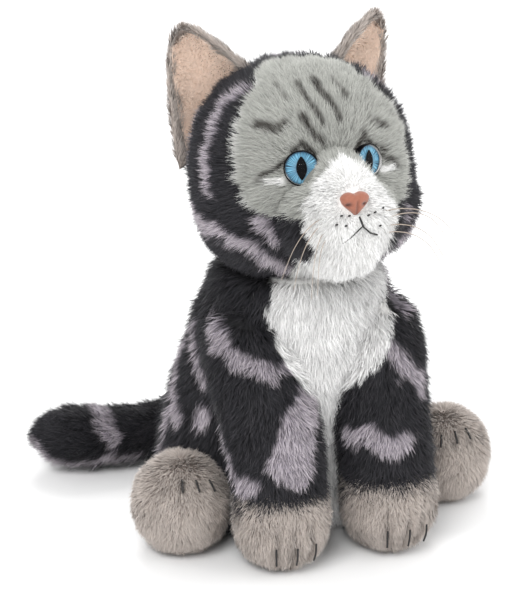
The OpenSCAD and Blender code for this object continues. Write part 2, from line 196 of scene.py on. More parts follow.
# Head markings in the head's own frame
headBands = [
    ([(-23.5, -12.7, 34), (-28, -10, 31.5), (-32, -8.6, 28), (-37.3, -8, 20), (-40, -8.5, 11),
      (-41, -8.8, 1.7),
      (-41, -13, -6.5)], 2.3),
    ([(-38, 22, -13), (-40.5, 6.4, -15), (-41.7, -10, -18.3), (-37.8, -20.5, -21.6), (-33.4, -25.6, -23.7),
      (-27, -27, -27.7), (-17.4, -22.6, -34.2)], 3.2),
    ([(-30, -31, -15.5), (-26.8, -33, -18), (-22.5, -32.8, -23)], 2.2),
    ([(-36, 14, 22), (-38, 18, 6), (-36, 22, -10), (-30, 24, -22)], 3.6),
    ([(-12, 30, 30), (-14, 38, 14), (-12, 40, -6), (-10, 36, -22)], 3.4),
    ([(-4, 8, 42), (-6, 22, 36), (-4, 30, 30)], 2.0)]
headBands += [([(-x, y + 1.5, z - 1) for x, y, z in line], wide) for line, wide in headBands]
headSpots = [([(-39.6, -13, -22), (-38.2, -17, -22.5)], 1.6)]
faceLines = [
    ([(-8.2, -23, 35), (-7.1, -29.5, 29), (-4.4, -33.7, 23.6), (-3.7, -35, 21)], 1.2),
    ([(-1.8, -22.8, 36), (-0.7, -28, 31.5), (2.5, -32, 26.4), (3.6, -34.7, 22)], 1.2),
    ([(-10.6, -32.6, 23.8), (-9.3, -34.7, 20), (-6.8, -36.8, 16), (-5, -37.4, 14.7)], 1.3),
    ([(6, -22, 35.5), (8.5, -29, 29.5)], 0.9), ([(-15.5, -19, 34.5), (-14.5, -26, 30)], 0.8),
    ([(-26, -26, 21.5), (-21, -30.8, 19.8), (-17, -31.5, 22.5)], 1.5),
    ([(-24, -28, 19), (-19, -31.5, 19)], 1.0),
    ([(17, -32.5, 21), (20.6, -31.7, 18.5), (24.5, -30, 16.5)], 1.0),
    ([(13, -35.6, 16), (17, -35.5, 12), (23, -33.4, 8)], 0.8)]
eyeLines = [([(-16.5, -35.6, 11.6), (-12.7, -36, 14.6), (-9.1, -38, 10.4), (-7.2, -42, 4)], 1.3),
            ([(-29, -29, 0), (-27, -31.4, 3.4), (-23, -33.7, 5.6), (-18, -35.7, 9)], 0.9)]
eyeLines += [([(-x, y, z) for x, y, z in line], wide) for line, wide in eyeLines]
eyeLights = [([(-25.5, -31.5, 0.6), (-21, -34.5, 0.4)], 1.5), ([(25.5, -31.5, 1), (21, -34.5, 0.8)], 1.5),
             ([(-12.5, -38, 12.3), (-10.5, -39, 10)], 0.3)]


def band(p, lines, soft=1.2, wander=1.6, seed=5):
    # 1 inside any line's half width, falling to 0 outside it, with a wandering edge:
    # the distance from p to a straight run a-b is |p - a - clamp((p - a).(b - a) / |b - a|^2) (b - a)|
    near = np.full(len(p), -99.0)
    for line, wide in lines:
        for a, b in zip(np.array(line[:-1], float), np.array(line[1:], float)):
            run = b - a
            t = np.clip((p - a) @ run / (run @ run), 0, 1)[:, None]
            near = np.maximum(near, wide - np.linalg.norm(p - a - t * run, axis=1))
    return step(-soft, soft, near + wander * ripple(p, 9, seed) * 0.7 + wander * ripple(p, 3.4,
                                                                                        seed + 1) * 0.4)


# The white bib's half width to each side by height
bibHeights = [54, 59, 64, 71, 78, 85, 92, 98, 106, 114, 122]
bibLeft = [-1, 2, 5, 11, 19, 25, 28.5, 30, 30, 30, 30]
bibRight = [-1, 3, 7, 12.5, 17.5, 21.5, 23.5, 23, 22, 21, 20]


def bibMask(p):
    side = np.where(p[:, 0] > 0, np.interp(p[:, 2], bibHeights, bibLeft),
                    np.interp(p[:, 2], bibHeights, bibRight))
    return step(-0.8, 0.8, side - np.abs(p[:, 0]) + 0.8 * ripple(p, 5, 3)) * (p[:, 1] < -6) * (p[:, 2] > 53)


# The grey face's half angle and the white muzzle's half width, by height in the head's frame
faceHeights = [-15.5, -14, -13, -10, -6.5, 0, 13.6, 20.5, 29, 36, 42]
faceAngles = [-10, 28, 44, 49.5, 53, 58, 58.5, 60, 61.5, 58, 100]
muzzleHeights = [-46, -36, -26, -23, -18, -12, -6.7, 0.4, 4, 6.5, 8.5]
muzzleWidths = [13, 13, 14, 15.5, 18.3, 18.6, 15.4, 10.3, 7.3, 3.5, -1]


def faceMask(p):
    angle = np.degrees(np.arctan2(np.abs(p[:, 0]), -p[:, 1]))
    return step(-2.5, 2.5, np.interp(p[:, 2], faceHeights, faceAngles) - angle + 2 * ripple(p, 6,
        9)) * (p[:, 2] > -16)


def muzzleMask(p):
    side = np.interp(p[:, 2], muzzleHeights, muzzleWidths)
    return step(-0.6, 0.6, side - np.abs(p[:, 0]) + 0.5 * ripple(p, 4, 12)) * (p[:, 1] < -14)


# Looks

class Link:
    # wraps a node's output socket, so that sums on it add Math nodes
    def __init__(self, maker, socket):
        self.maker, self.socket = maker, socket

    def math(self, kind, first, second):
        return self.maker.node("ShaderNodeMath", {"operation": kind}, {0: first, 1: second})

    def __add__(self, other):
        return self.math("ADD", self, other)

    def __sub__(self, other):
        return self.math("SUBTRACT", self, other)

    def __rsub__(self, other):
        return self.math("SUBTRACT", other, self)

    def __mul__(self, other):
        return self.math("MULTIPLY", self, other)

    def __pow__(self, other):
        return self.math("POWER", self, other)

    __radd__, __rmul__ = __add__, __mul__


class Maker:
    def __init__(self, name):
        self.material = bpy.data.materials.new(name)
        self.material.use_nodes = True
        self.tree = self.material.node_tree
        self.tree.nodes.clear()

    def node(self, kind, settings=None, sockets=None, out=0):
        made = self.tree.nodes.new(kind)
        for key, value in (settings or {}).items():
            if key == "stops":
                ramp = made.color_ramp
                while len(ramp.elements) < len(value):
                    ramp.elements.new(0.5)
                for element, (place, colour) in zip(ramp.elements, value):
                    element.position, element.color = place, (*colour, 1)
            else:
                setattr(made, key, value)
        for key, value in (sockets or {}).items():
            if isinstance(value, Link):
                self.tree.links.new(value.socket, made.inputs[key])
            else:
                made.inputs[key].default_value = value
        return Link(self, made.outputs[out])

    def mask(self, name):
        return self.node("ShaderNodeAttribute", {"attribute_name": name}, out="Fac")

    def ramp(self, value, *stops):
        return self.node("ShaderNodeValToRGB", {"stops": stops}, {"Fac": value})

    def mix(self, factor, a, b):
        return self.node("ShaderNodeMix", {"data_type": "RGBA"}, {0: factor, 6: a, 7: b}, out=2)

    def scale(self, colour, by):
        return self.node("ShaderNodeVectorMath", {"operation": "SCALE"}, {0: colour, "Scale": by})

    def noise(self, scale, detail=3.0, place=None):
        place = place or self.node("ShaderNodeTexCoord", out="Object")
        return self.node("ShaderNodeTexNoise", {}, {"Vector": place, "Scale": scale, "Detail": detail})

    def bump(self, height, strength, distance):
        return self.node("ShaderNodeBump", {}, {"Height": height, "Strength": strength, "Distance": distance})

    def surface(self, **sockets):
        self.shader = self.node("ShaderNodeBsdfPrincipled", {},
                                {k.replace("_", " "): v for k, v in sockets.items()})
        self.output(self.shader)
        return self.material

    def output(self, shader):
        end = self.tree.nodes.new("ShaderNodeOutputMaterial")
        self.tree.links.new(shader.socket, end.inputs["Surface"])


def colour(r, g, b):
    return (r, g, b, 1)


# Each pile runs from the fibre's root (0) to its tip (1): the darker roots are painted shade deep in the
# pile, and the lilac's pale tips are also the cloth's own frosted colour
pileColours = {
    "black": [(0.0, (0.003, 0.003, 0.004)), (0.5, (0.008, 0.008, 0.010)), (1.0, (0.026, 0.026, 0.032))],
    "lilac": [(0.0, (0.055, 0.048, 0.058)), (0.5, (0.33, 0.295, 0.34)), (1.0, (0.70, 0.64, 0.68))],
    "white": [(0.0, (0.80, 0.79, 0.77)), (0.5, (0.93, 0.925, 0.915)), (1.0, (0.97, 0.968, 0.965))],
    "grey": [(0.0, (0.14, 0.145, 0.13)), (0.5, (0.33, 0.335, 0.31)), (1.0, (0.56, 0.565, 0.53))],
    # this dark pile colours the face's real brown stripes, and is also painted shade in toe grooves, foot
    # dents and round the nose
    "brown": [(0.0, (0.010, 0.009, 0.008)), (0.6, (0.030, 0.027, 0.024)), (1.0, (0.09, 0.08, 0.07))],
    "taupe": [(0.0, (0.27, 0.225, 0.20)), (0.5, (0.47, 0.41, 0.37)), (1.0, (0.64, 0.58, 0.54))],
    "peach": [(0.0, (0.84, 0.65, 0.53)), (0.5, (0.91, 0.75, 0.64)), (1.0, (0.95, 0.83, 0.73))]}


def pileMaterial(name, ground, marks, rough=0.62, sheen=0.25):
    # colour = ground pile, then each mark's pile mixed in by its mask, all by the place along the fibre,
    # darker at the root as painted shade;
    # brightness = 0.8 + 0.4 tone, times a soft cloud of noise over the cloth
    make = Maker(name)
    tip = make.mask("tip")
    tone = make.mask("tone")
    shade = make.ramp(tip, *pileColours[ground])
    for mark, kind in marks:
        shade = make.mix(make.mask(mark), shade, make.ramp(tip, *pileColours[kind]))
    cloud = make.noise(120.0, 2.0)
    shade = make.scale(shade, (0.80 + 0.34 * tone) * (0.86 + 0.28 * cloud))
    return make.surface(Base_Color=shade, Roughness=rough + 0.2 * tone, Sheen_Weight=sheen,
                        Sheen_Roughness=0.4, Specular_IOR_Level=0.25)


tabbyPile = pileMaterial("tabbyPile", "black", [("lilac", "lilac"), ("white", "white")], 0.55, 0.12)
facePile = pileMaterial("facePile", "grey", [("brown", "brown"), ("white", "white")])
taupePile = pileMaterial("taupePile", "taupe", [("brown", "brown")])
earPile = pileMaterial("earPile", "taupe", [("brown", "brown")])
earVelour = pileMaterial("earVelour", "peach", [], 0.7, 0.3)


# Pieces

def makeMesh(name, points, faces, masks=None, normals=None, uv=None, material=None, body=None, nodes=(),
             slot=None):
    # faces are rows of corner numbers into points (millimetres); masks are point values, uv corner values
    mesh = bpy.data.meshes.new(name)
    mesh.vertices.add(len(points))
    mesh.vertices.foreach_set("co", (points * 0.001).astype(np.float32).ravel())
    mesh.loops.add(faces.size)
    mesh.loops.foreach_set("vertex_index", faces.astype(np.int32).ravel())
    mesh.polygons.add(len(faces))
    mesh.polygons.foreach_set("loop_start", np.arange(0, faces.size, 3, dtype=np.int32))
    mesh.update(calc_edges=True)
    for key, values in (masks or {}).items():
        mesh.attributes.new(key, "FLOAT", "POINT").data.foreach_set("value",
                                                                    values.astype(np.float32).ravel())
    if uv is not None:
        mesh.uv_layers.new(name="OFBake").uv.foreach_set("vector", uv.astype(np.float32).ravel())
    mesh.polygons.foreach_set("use_smooth", np.full(len(faces), True))
    if normals is not None:
        mesh.normals_split_custom_set_from_vertices(normals)
    mesh.materials.append(material)
    piece = bpy.data.objects.new(name, mesh)
    bpy.context.scene.collection.objects.link(piece)
    if body:
        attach(piece, body)
    if nodes:
        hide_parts(*nodes)
    return piece


def isRound(grid):
    return np.abs(grid[:, 0] - grid[:, -1]).max() < 1e-6


def gridNormals(grid, out):
    # N = out * unit(dP/du x dP/dv), with the first column following the last on a closed form
    wide = np.concatenate([grid[:, -2:-1], grid, grid[:, 1:2]], 1) if isRound(grid) else grid
    along = np.gradient(wide, axis=1)
    along = along[:, 1:-1] if isRound(grid) else along
    n = np.cross(along, np.gradient(grid, axis=0)) * out
    n = unit(n)
    for end, inner in ((0, 1), (-1, -2)):
        if np.ptp(grid[end], axis=0).max() < 1e-6:
            n[end] = unit(n[inner].mean(0))
    return n


def outward(grid):
    # +1 or -1, whichever turns most normals away from the middle
    n = gridNormals(grid, 1)
    return 1 if np.sum(n * (grid - grid.reshape(-1, 3).mean(0))) > 0 else -1


def gridFaces(grid, out, keep=None):
    # two triangles a cell, joined round the seam and at the poles; gives faces and their corners' (u, v)
    rows, cols = grid.shape[0], grid.shape[1]
    index = np.arange(rows * cols).reshape(rows, cols)
    if isRound(grid):
        index[:, -1] = index[:, 0]
    for end in (0, -1):
        if np.ptp(grid[end], axis=0).max() < 1e-6:
            index[end] = index[end, 0]
    u, v = np.meshgrid(np.linspace(0, 1, cols), np.linspace(0, 1, rows))
    place = np.stack([u, v], -1)
    i, j = np.nonzero(np.ones((rows - 1, cols - 1), bool) if keep is None else keep)
    ci = np.stack([i, i, i + 1, i, i + 1, i + 1], 1).reshape(-1, 3)
    cj = np.stack([j, j + 1, j + 1, j, j + 1, j], 1).reshape(-1, 3)
    faces, uv = index[ci, cj], place[ci, cj]
    whole = (faces[:, 0] != faces[:, 1]) & (faces[:, 1] != faces[:, 2]) & (faces[:, 0] != faces[:, 2])
    faces, uv = faces[whole], uv[whole]
    return (faces, uv) if out > 0 else (faces[:, ::-1], uv[:, ::-1])


def tidyPoints(points, faces, *others):
    # keeps only the points that a face uses
    used, faces = np.unique(faces, return_inverse=True)
    return (points[used], faces.reshape(-1, 3), *(other[used] for other in others))


def skinPiece(name, grid, material, body, place=None, out=None, **rest):
    # a plain closed or open form from one grid
    out = out or outward(grid)
    faces, uv = gridFaces(grid, out)
    points, faces, normals = tidyPoints(grid.reshape(-1, 3), faces, gridNormals(grid, out).reshape(-1, 3))
    if place:
        normals = unit(place(points + normals) - place(points))
        points = place(points)
    masks = rest.pop("masks", None)
    if masks:
        used = np.unique(gridFaces(grid, out)[0])
        masks = {key: value.ravel()[used] for key, value in masks.items()}
    return makeMesh(name, points, faces, masks, normals, None, material, body, **rest)


def inset(grid, by):
    return grid - gridNormals(grid, outward(grid)) * by


def scatter(grid, out, count, weight):
    # roots in proportion to cell area times weight, at an even stride with a random place in each cell
    a, b, c, d = grid[:-1, :-1], grid[:-1, 1:], grid[1:, :-1], grid[1:, 1:]
    area = np.linalg.norm(np.cross(b - a, c - a), axis=-1) + np.linalg.norm(np.cross(b - d, c - d), axis=-1)
    share = np.cumsum((area * weight).ravel())
    pick = np.searchsorted(share, (np.arange(count) + rng.random(count)) / count * share[-1])
    i, j = np.divmod(np.minimum(pick, share.size - 1), area.shape[1])
    s, t = rng.random((2, count, 1))

    def between(g):
        return (1 - s) * ((1 - t) * g[i, j] + t * g[i, j + 1]) + s * ((1 - t) * g[i + 1, j] + t * g[i + 1,
                                                                                                    j + 1])
    return between(grid), unit(between(gridNormals(grid, out)))


def growPile(root, normal, flow, length, style):
    # each fibre is a blade in two runs: root + L/2 (cos a N + sin a F), then L/2 more at the angle a + bend,
    # where N is the skin's normal and F the combed direction, turned about N by a wandering angle
    n = len(root)
    comb = unit(flow - normal * dot(flow, normal))
    across = np.cross(normal, comb)
    swirl = (style["wander"] * ripple(root, 16, 31) + style["jitter"] * rng.normal(size=n))[:, None]
    comb = comb * np.cos(swirl) + across * np.sin(swirl)
    lean = style["lean"] + style["leanJitter"] * rng.normal(size=n) + 7 * ripple(root, 9, 41)
    lean = np.clip(np.radians(lean), 0.1, 1.4)[:, None]
    bend = math.radians(style["bend"])
    # fibres of one tuft are pulled the same way: a cell's number gives its pull
    cell = np.floor(root / style["tuft"] + ripple(root, 11, 51)[:, None] * 0.7)
    seed = np.sin(cell @ np.array([[12.99, 78.23, 37.72], [39.35, 11.14, 83.16],
                                   [73.16, 52.24, 9.15]])) * 43758.5
    pull = (seed - np.floor(seed) - 0.5) * style["clump"]
    first = normal * np.cos(lean) + comb * np.sin(lean)
    second = unit(normal * np.cos(lean + bend) + comb * np.sin(lean + bend) + pull + 0.12
                  * rng.normal(size=(n, 3)))
    long = (length * (0.75 + 0.5 * rng.random(n)))[:, None]
    middle = root + first * long * 0.5
    end = middle + second * long * 0.5
    turn = rng.uniform(-0.8, 0.8, (n, 1))
    flat = unit(np.cross(normal, first))
    wide = unit(flat * np.cos(turn) + np.cross(first, flat) * np.sin(turn)) * style["width"] / 2
    low = root - normal * 0.4
    points = np.stack([low - wide, low + wide, middle - wide * 0.8, middle + wide * 0.8, end], 1)
    along = unit(end - root)
    soft = unit(normal - along * dot(normal, along) * 0.6 + 0.16 * rng.normal(size=(n, 3)))
    lies = (middle - root) * 0.5 + (end - root) * 0.4
    return points, np.repeat(soft[:, None], 5, 1), root + lies - normal * dot(lies, normal)


def pilePiece(name, grids, count, style, masksOf, flowOf, lengthOf, material, keep=None, weightOf=None,
              place=None,
              body=None, nodes=(), slot=None, cellWeight=None):
    # one piece: the grids' cells inside keep, and fibres on them
    # place turns own-frame points into body points
    skins, corners, areas, start = [], [], [], 0
    for grid in grids:
        out = outward(grid)
        centre = ((grid[:-1, :-1] + grid[1:, 1:]) / 2).reshape(-1, 3)
        shape = grid.shape[0] - 1, grid.shape[1] - 1
        if keep:
            # a cell belongs to the piece if what its fibres cover does
            n = unit(gridNormals(grid, out)[:-1, :-1].reshape(-1, 3) + 1e-9)
            flow = flowOf(centre, n)
            lie = unit(flow - n * dot(flow,
                n)) * (0.62 * math.sin(math.radians(style["lean"]))) * lengthOf(centre)[:, None]
            kept = keep(centre + lie).reshape(shape)
        else:
            kept = np.ones(shape, bool)
        weight = kept * (weightOf(centre).reshape(shape) if weightOf else 1.0)
        if cellWeight is not None:
            weight = weight * cellWeight
        size = np.linalg.norm(np.cross(grid[:-1, 1:] - grid[:-1, :-1], grid[1:, :-1] - grid[:-1, :-1]),
                              axis=-1)
        areas.append((grid, out, weight, np.sum(size * weight)))
        faces, uv = gridFaces(grid, out, kept)
        skins.append((grid.reshape(-1, 3), faces + start, gridNormals(grid, out).reshape(-1, 3)))
        corners.append(uv * [1, 0.1])
        start += grid.shape[0] * grid.shape[1]
    total = sum(area[3] for area in areas)
    found = [scatter(grid, out, int(count * area / total), weight) for grid, out, weight, area in areas]
    root, normal = (np.concatenate(part) for part in zip(*found))
    long = lengthOf(root)
    grown = long > 0.05
    root, normal, long = root[grown], normal[grown], long[grown]
    blades, soft, spot = growPile(root, normal, flowOf(root, normal), long, style)
    points, faces, normals = tidyPoints(np.concatenate([skin[0] for skin in skins]),
                                        np.concatenate([skin[1] for skin in skins]),
                                        np.concatenate([skin[2] for skin in skins]))
    k = len(root)
    blade = (len(points) + 5 * np.arange(k)[:, None] + np.array([[0, 1, 3, 0, 3, 2, 2, 3, 4]])).reshape(-1, 3)
    # a cell of the bake layer for each fibre, in root order
    cols = int(math.ceil(math.sqrt(k / 0.9)))
    size = np.array([1 / cols, 0.9 / math.ceil(k / cols)])
    cell = np.stack([np.arange(k) % cols, np.arange(k) // cols], -1) * size + [0, 0.1]
    inCell = np.array([[0.15, 0.1], [0.85, 0.1], [0.15, 0.5], [0.85, 0.5], [0.5, 0.9]]) * size
    bladeUv = (cell[:, None] + inCell).reshape(-1, 2)
    skinMasks = {key: maskOf(points) for key, maskOf in masksOf.items()}
    frost = rng.random(k) - 0.5
    # the skin under the fibres takes the colour near the root, dark as painted shade under the pile
    masks = {"tip": np.concatenate([np.full(len(points), 0.15), np.tile([0.0, 0.0, 0.5, 0.5, 1.0], k)]),
             "tone": np.concatenate([np.full(len(points), 0.5), np.repeat(rng.random(k), 5)])}
    for key, maskOf in masksOf.items():
        masks[key] = np.concatenate([skinMasks[key],
            np.repeat(np.clip(maskOf(spot) * (1 + 0.9 * frost) + 0.12 * frost * (key == "lilac"), 0, 1), 5)])
    uv = np.concatenate([np.concatenate(corners).reshape(-1, 2), bladeUv[blade.ravel() - len(points)]])
    points = np.concatenate([points, blades.reshape(-1, 3)])
    normals = np.concatenate([normals, soft.reshape(-1, 3)])
    if place:
        normals = unit(place(points + normals) - place(points))
        points = place(points)
    points[:, 2] = np.maximum(points[:, 2], 0.12)
    # a fibre's faces point the way its own normal does
    tri = points[blade]
    turnedIn = np.sum(np.cross(tri[:, 1] - tri[:, 0], tri[:, 2] - tri[:, 0]) * normals[blade[:, 0]],
                      axis=1) < 0
    blade[turnedIn] = blade[turnedIn][:, ::-1]
    corner = uv[-blade.size:].reshape(-1, 3, 2)
    corner[turnedIn] = corner[turnedIn][:, ::-1]
    uv = np.concatenate([uv[:-blade.size], corner.reshape(-1, 2)])
    piece = makeMesh(name, points, np.concatenate([faces, blade]), masks, normals, uv, material, body,
                     nodes, slot)
    print("pile", name, k, "fibres,", len(faces) + len(blade), "triangles")
    return piece


def flowDown(p, n):
    return np.array([0, 0.12, -1.0]) + 0 * p


def even(value):
    return lambda p: np.full(len(p), float(value))


def mirrored(grid):
    return grid * [-1, 1, 1]


fibres = 0.88  # share of each coat's fibres that is grown
count = lambda n: int(n * fibres)

# Body coat
coat = {"lean": 55, "leanJitter": 7, "bend": 14, "wander": 0.25, "jitter": 0.16, "tuft": 2.8, "clump": 0.5,
        "width": 0.45}
bibCoat = dict(coat, lean=58, leanJitter=6, clump=0.28, width=0.34, jitter=0.14, wander=0.2)
torso = stackSkin(torsoRows, 200, 130)


def isBib(p):
    return bibMask(p) > 0.5


def isBelly(p):
    return (p[:, 1] < -6) & (np.abs(p[:, 0]) < 22) & (p[:, 2] < 60) & ~isBib(p)


def torsoWeight(p):
    # little is seen under the head, in the shoulders and on the ground
    shoulder = np.linalg.norm((np.abs(p) * [1, 0, 0] + p * [0, 1, 1]) - [27, -19, 84], axis=1)
    return np.where((shoulder < 17) | (p[:, 2] > 116) | (p[:, 2] < 2.5), 0.05, 1.0)


def torsoLength(p):
    seam = np.exp(-(p[:, 0] / 1.3) ** 2) * (p[:, 1] > 20)
    return 7.0 * (1 - 0.45 * seam) * step(-2, 10, p[:, 2] - 1) + 1.5


bodyMasks = {"lilac": lambda p: band(p, bodyBands),
             "white": lambda p: np.maximum(bibMask(p), 1.0 * isBelly(p))}
for side, sign in (("Left", 1), ("Right", -1)):
    pilePiece("sideCoat" + side, [torso], count(52000), coat, bodyMasks, flowDown, torsoLength, tabbyPile,
              lambda p: (p[:, 0] * sign > 0) & ~isBib(p) & ~isBelly(p), torsoWeight, body="torso",
              nodes=["side_panel_" + side.lower()], slot="tabby_plush")
pilePiece("bibCoat", [torso], count(30000), bibCoat, bodyMasks, flowDown, even(7.5), tabbyPile, isBib,
          torsoWeight,
          body="torso", nodes=["chest_bib"], slot="white_plush")
pilePiece("bellyCoat", [torso], count(9000), bibCoat, bodyMasks, flowDown, torsoLength, tabbyPile, isBelly,
          torsoWeight,
          body="torso", nodes=["belly_panel"], slot="white_plush")

# Legs, paws and feet
# painted shade: short dark lines in the dents by the foot's stitches; the foot's skin is not pressed in, only
# its pile is darkened
footDentShade = {"left": [([(63, -28, 31), (65, -27, 34)], 1.0), ([(70, -28, 30), (72, -26, 33)], 1.0),
                      ([(77, -25, 29), (78, -22, 32)], 1.0)],
             "right": [([(-69, -32, 31), (-69, -30, 35)], 1.0), ([(-62, -34, 32), (-62, -32, 35)], 1.0),
                       ([(-54, -35, 32), (-53, -33, 35)], 1.0)]}
toes = {"left": (-24, 2, 26), "right": (-26, -2, 22), "deep": 1.9, "wide": 5.0}


def pressToes(grid, middle, turns, low, high):
    # each groove moves the skin towards the middle by deep * exp(-(turn - its turn)^2 / wide^2),
    # between two heights
    x, y, z = (grid - middle).transpose(2, 0, 1)
    turn = np.degrees(np.arctan2(x, -y))
    press = sum(np.exp(-((turn - t) / toes["wide"]) ** 2) for t in turns) * step(low - 3, low,
                                                                                 z) * step(high + 8, high, z)
    return grid - unit(grid - middle) * (toes["deep"] * press)[..., None]


# painted shade: dark lines along the toe grooves that pressToes presses into the paw
def toeCreaseShade(middle, turns, low, high):
    def mask(p):
        x, y, z = (p - middle).T
        turn = np.degrees(np.arctan2(x, -y))
        lines = sum(np.exp(-((turn - t) / 3.2) ** 2) for t in turns)
        return np.clip(0.55 * lines * step(low - 2, low, z) * step(high + 5, high - 2, z), 0, 1)
    return mask


pawCoat = dict(coat, lean=50, bend=12, clump=0.25, width=0.34, jitter=0.26, wander=0.3)
for side, sign in (("Left", 1), ("Right", -1)):
    turnSide = (lambda g: g) if sign > 0 else mirrored
    low = side.lower()
    leg = turnSide(stackSkin(legRows, 96, 70))
    pilePiece("legCoat" + side, [leg], count(40000), coat,
              {"lilac": lambda p: band(p, bodyBands), "white": bibMask}, flowDown,
              lambda p: 6.5 * step(14, 34, p[:, 2] + 0.6 * (p[:, 1] + 54)) + 0.3, tabbyPile,
              weightOf=lambda p: np.where((p[:, 2] > 99) | (p[:, 2] < 26), 0.1, 1.0),
              body="foreleg_" + low, nodes=["foreleg_sleeve_" + low], slot="tabby_plush")
    middle = np.array([sign * pawAt[0], pawAt[1], 21.0])
    paw = pressToes(turnSide(stackSkin(pawRows, 112, 56)), middle, toes[low], -14, 2)
    pilePiece("pawCoat" + side, [paw], count(30000), pawCoat,
              {"brown": toeCreaseShade(middle, toes[low], -13, 0)},
              lambda p, n: p - [sign * pawAt[0], pawAt[1] + 15, 60], even(4.0), taupePile,
              weightOf=lambda p: np.where(p[:, 2] < 1.2, 0.05, 1.0),
              body="foreleg_" + low, nodes=["paw_cover_" + low], slot="grey_plush")
    spot = np.array([*footAt[low], 0.0])
    foot = stackSkin(footRows, 96, 56) + spot
    pilePiece("footCoat" + side, [foot], count(30000), pawCoat,
              {"brown": lambda p: 0.6 * band(p, footDentShade[low], 1.2, 0.3, 21)},
              lambda p, n: (p - spot) * [1, 1, 0.6] - [0, 0, 22], even(4.2), taupePile,
              weightOf=lambda p: np.where(p[:, 2] < 1.2, 0.05, 1.0),
              body="hind_foot_" + low, nodes=["foot_cover_" + low], slot="grey_plush")

# Tail: one coat over both tail covers
tailCoat = dict(coat, lean=50, bend=16, clump=0.8, tuft=3.4, jitter=0.3)
tailPath = smoothRows(tailRows, 60)[:, :3]


def alongTail(p, n):
    near = np.argmin(((p[:, None] - tailPath) ** 2).sum(-1), 1)
    return np.gradient(tailPath, axis=0)[near]


tail = pilePiece("tailCoat", [tubeSkin(tailRows, 80, 110)], count(40000), tailCoat,
                 {"lilac": lambda p: band(p, tailBands), "white": even(0)}, alongTail,
                 even(7.6), tabbyPile,
                 nodes=["tail_root_cover", "tail_tip_cover"], slot="tabby_plush")
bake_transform(tail)

# Head coat
headCoat = dict(coat, lean=46, width=0.42)
faceCoat = dict(coat, lean=58, leanJitter=6, bend=10, width=0.32, clump=0.32, jitter=0.12, wander=0.15,
                tuft=3.0)
muzzleCoat = dict(coat, lean=48, leanJitter=8, width=0.32, clump=0.25, jitter=0.2)
headGrid = headSkin(240, 150)
nosePoint = np.array([0, -52, -5.0])
eyeSeat = {"at": np.array([14.2, -38.8, 5.2]), "splay": 24, "radius": 6.75}


def fromNose(p, n):
    # swept back from the nose, a little down at the cheeks
    away = p - nosePoint
    return away + np.array([0, 6.0, 0]) * (p[:, 2:] > 5) - np.array([0, 0, 0.25]) * np.abs(p[:, :1])


def eyeGap(p):
    # distance from the nearer eye's axis, in front of the head
    a = math.radians(eyeSeat["splay"])
    axis = np.array([math.sin(a), -math.cos(a), 0])
    q = np.abs(p) * [1, 0, 0] + p * [0, 1, 1] - eyeSeat["at"]
    return np.where(p[:, 1] < -18, np.linalg.norm(q - (q @ axis)[:, None] * axis, axis=1), 99)


def noseGap(p):
    return np.linalg.norm((p - [0, -55, -7]) / [1.25, 1.4, 1.0], axis=1)


def faceLength(p):
    low = step(6.0, 11, eyeGap(p))
    return np.where(eyeGap(p) < 6.1, 0, 1.3 + 4.2 * low) * step(3.5, 6.5, noseGap(p))


def muzzleLength(p):
    mouth = np.exp(-(p[:, 0] / 1.2) ** 2) * (p[:, 2] < -9) * (p[:, 2] > -21) * (p[:, 1] < -45)
    chin = step(-20, -34, p[:, 2])
    return np.where(eyeGap(p) < 6.1, 0,
                    1.6 + 2.2 * step(4, 12, noseGap(p)) + 3.5 * chin) * (1 - 0.6 * mouth) \
        * step(4.0, 5.5, noseGap(p))


isMuzzle = lambda p: muzzleMask(p) > 0.5
isFace = lambda p: (faceMask(p) > 0.5) & ~isMuzzle(p)
sideMasks = {"lilac": lambda p: band(p, headBands) * (1 - band(p, headSpots)),
             "white": lambda p: muzzleMask(p) * (p[:, 2] < -22)}
# The face's dark mask: real brown stripes and eye lines, plus a ring of painted shadow round the top of the
# nose
faceMasks = {"brown": lambda p: np.maximum(band(p, faceLines, 1.2, 0.5, 15), np.maximum(
                 band(p, eyeLines, 0.9, 0.2, 16), 0.9 * step(7.4, 6.2, noseGap(p)) * (p[:, 2] > -13))),
             "white": lambda p: np.maximum(muzzleMask(p), np.maximum(
                 0.35 * step(5, 0, faceEdge(p)), 0.9 * band(p, eyeLights, 0.8, 0.2, 18)))}


def faceEdge(p):
    angle = np.degrees(np.arctan2(np.abs(p[:, 0]), -p[:, 1]))
    return np.interp(p[:, 2], faceHeights, faceAngles) - angle


def headWeight(p):
    return np.where(p[:, 2] < -40, 0.08, np.where(eyeGap(p) < 6.1, 0, 1.0))


for side, sign in (("Left", 1), ("Right", -1)):
    pilePiece("headCoat" + side, [headGrid], count(46000), headCoat, sideMasks, fromNose, even(6.8),
              tabbyPile,
              lambda p: (p[:, 0] * sign > 0) & ~isFace(p) & ~isMuzzle(p), headWeight, headToBody, "head",
              ["head_panel_" + side.lower()], "tabby_plush")
pilePiece("faceCoat", [headGrid], count(44000), faceCoat, faceMasks, fromNose, faceLength, facePile, isFace,
          headWeight, headToBody, "head", ["face_panel"], "grey_plush")
pilePiece("muzzleCoat", [headGrid], count(34000), muzzleCoat, faceMasks, fromNose, muzzleLength, facePile,
          isMuzzle,
          headWeight, headToBody, "head", ["muzzle_panel"], "white_plush")

